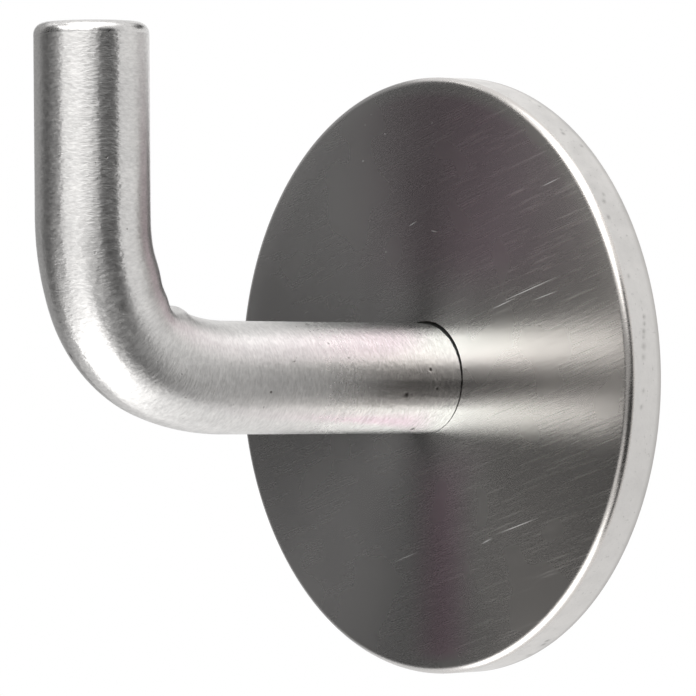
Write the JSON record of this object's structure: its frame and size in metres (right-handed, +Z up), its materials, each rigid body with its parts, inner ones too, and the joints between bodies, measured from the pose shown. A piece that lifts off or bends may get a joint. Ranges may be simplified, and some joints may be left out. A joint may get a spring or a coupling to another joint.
{
  "type": "coat hook",
  "caption": "Solid round steel bar bent upward at a right angle out of a thick round wall plate, for hanging coats, bags or towels.",
  "frame": {"origin": "centre of the wall plate's rear face, on the wall", "axes": "+Y into the wall, so the arm runs out along -Y; +Z up along the hook's leg; +X to the right seen from the room"},
  "size_m": [0.065, 0.056, 0.0695],
  "materials": {
    "bar_steel": "stainless steel, finely brushed across the bar",
    "plate_steel": "stainless steel, satin face with fine scratches, dull mottled rim",
    "weld_metal": "weld metal ground flush"
  },
  "bodies": {
    "root": {"hook_bar": "bar_steel", "wall_plate": "plate_steel", "rear_weld": "weld_metal"}
  },
  "joints": []
}
